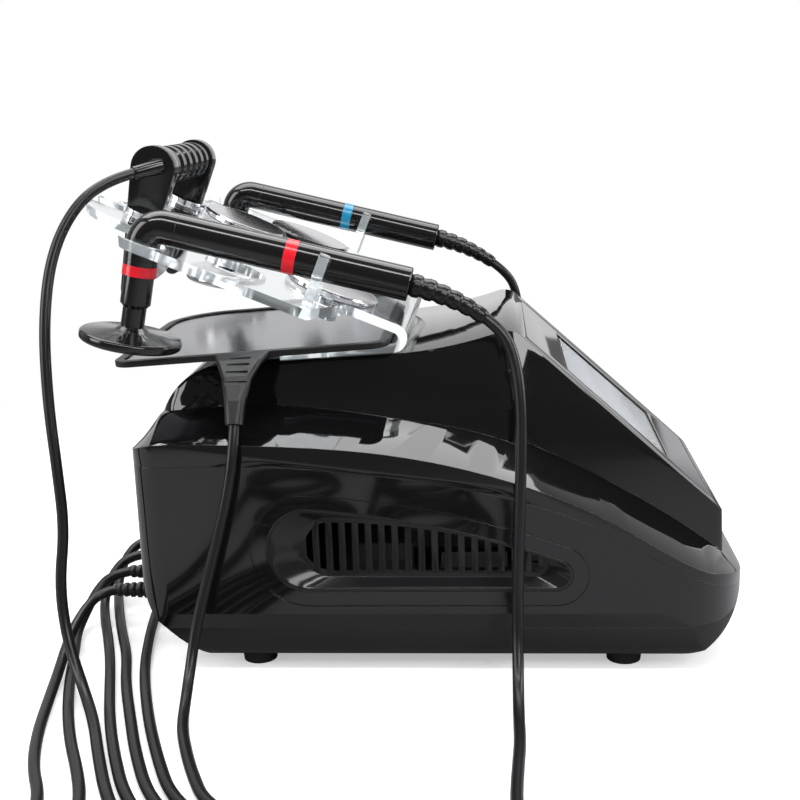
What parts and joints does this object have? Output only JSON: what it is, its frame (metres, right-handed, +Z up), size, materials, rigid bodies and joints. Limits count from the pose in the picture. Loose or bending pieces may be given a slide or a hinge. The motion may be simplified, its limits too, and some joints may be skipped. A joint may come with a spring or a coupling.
{
  "type": "tecar therapy machine",
  "caption": "Desktop therapy console with a sloped touch screen, a clear bent rack, disc-electrode pens, spare electrodes, a ribbed blade handle, a return plate and coiled cords.",
  "frame": {"origin": "on the table, under the middle of the machine measured without its cords", "axes": "+X towards the display's end, +Y towards the side away from the coils, +Z up"},
  "size_m": [0.4595, 0.7978, 0.3355],
  "materials": {
    "cover": "gloss",
    "body": "gloss",
    "tray": "matt",
    "grille": "matt",
    "glass": "clear",
    "screen": "satin",
    "acrylic": "clear",
    "panel": "satin",
    "sockets": "polished",
    "inlet": "matt",
    "pins": "polished",
    "rocker": "gloss",
    "rubber": "matt",
    "screws": "brushed",
    "handles": "gloss",
    "red_band": "gloss",
    "blue_band": "gloss",
    "electrodes": "polished",
    "fittings": "polished",
    "blade": "brushed",
    "plate": "satin",
    "cord": "satin",
    "plugs": "matt",
    "boards": "matt"
  },
  "bodies": {
    "console": {"base_tray": "tray", "lower_body": "body", "vent_inserts": "grille", "upper_cover": "cover", "display_bezel": "cover", "touch_glass": "glass", "display_module": "screen", "rear_panel": "panel", "output_sockets": "sockets", "inlet_module": "inlet", "inlet_pins": "pins", "switch_frame": "inlet", "fan_frame": "inlet", "rubber_feet": "rubber", "foot_screws": "screws", "rack_sheet": "acrylic", "rack_screws": "screws", "pen_clips": "acrylic", "electronics": "boards", "cord_plugs": "plugs", "blade_cord": "cord", "blue_cord": "cord", "plate_cord": "cord", "red_cord": "cord", "blade_cord_coil": "cord", "blue_cord_coil": "cord", "plate_cord_coil": "cord", "red_cord_coil": "cord"},
    "red_pen": {"red_pen_barrel": "handles", "red_pen_band": "red_band", "red_pen_elbow": "handles", "red_pen_boot": "rubber"},
    "red_head": {"red_head_sleeve": "handles", "red_head_band": "red_band", "red_head_disc": "handles", "red_head_face": "electrodes"},
    "blue_pen": {"blue_pen_barrel": "handles", "blue_pen_band": "blue_band", "blue_pen_elbow": "handles", "blue_pen_boot": "rubber"},
    "blue_head": {"blue_head_sleeve": "handles", "blue_head_band": "blue_band", "blue_head_disc": "electrodes", "blue_head_face": "electrodes"},
    "blade_handle": {"blade_grip": "handles", "blade_legs": "handles", "blade_fittings": "fittings", "blade_plate": "blade"},
    "return_plate": {"return_plate_steel": "plate", "return_plate_rim": "rubber", "return_plate_relief": "rubber"},
    "spare_1": {"spare_1_body": "electrodes", "spare_1_face": "electrodes"},
    "spare_2": {"spare_2_body": "handles", "spare_2_face": "electrodes"},
    "spare_3": {"spare_3_body": "electrodes", "spare_3_face": "electrodes"},
    "rocker": {"switch_rocker": "rocker"},
    "rotor": {"fan_rotor": "inlet"}
  },
  "joints": [
    {"name": "red_pen_draw", "type": "slide", "parent": "console", "child": "red_pen", "axis": [-0.969, 0, 0.247], "range_m": [0, 0.018]},
    {"name": "red_head_pull", "type": "slide", "parent": "red_pen", "child": "red_head", "axis": [-0.2079, 0, -0.9781], "range_m": [0, 0.01]},
    {"name": "blue_pen_draw", "type": "slide", "parent": "console", "child": "blue_pen", "axis": [-0.969, 0, 0.247], "range_m": [0, 0.04]},
    {"name": "blue_head_pull", "type": "slide", "parent": "blue_pen", "child": "blue_head", "axis": [-0.2079, 0, -0.9781], "range_m": [0, 0.01]},
    {"name": "blade_handle_lift", "type": "slide", "parent": "console", "child": "blade_handle", "axis": [0.3859, 0, 0.9225], "range_m": [0, 0.015]},
    {"name": "return_plate_draw", "type": "slide", "parent": "console", "child": "return_plate", "axis": [-0.998, 0, 0.063], "range_m": [0, 0.04]},
    {"name": "spare_1_lift", "type": "slide", "parent": "console", "child": "spare_1", "axis": [0.3859, 0, 0.9225], "range_m": [0, 0.03]},
    {"name": "spare_2_lift", "type": "slide", "parent": "console", "child": "spare_2", "axis": [0.3859, 0, 0.9225], "range_m": [0, 0.003]},
    {"name": "spare_3_lift", "type": "slide", "parent": "console", "child": "spare_3", "axis": [0.3859, 0, 0.9225], "range_m": [0, 0.03]},
    {"name": "rocker_turn", "type": "hinge", "parent": "console", "child": "rocker", "pos_m": [-0.156, 0.082, 0.092], "axis": [0, 0, 1], "range_deg": [-18, 0]},
    {"name": "rotor_spin", "type": "hinge", "parent": "console", "child": "rotor", "pos_m": [-0.15, -0.022, 0.084], "axis": [1, 0, 0], "continuous": true}
  ]
}
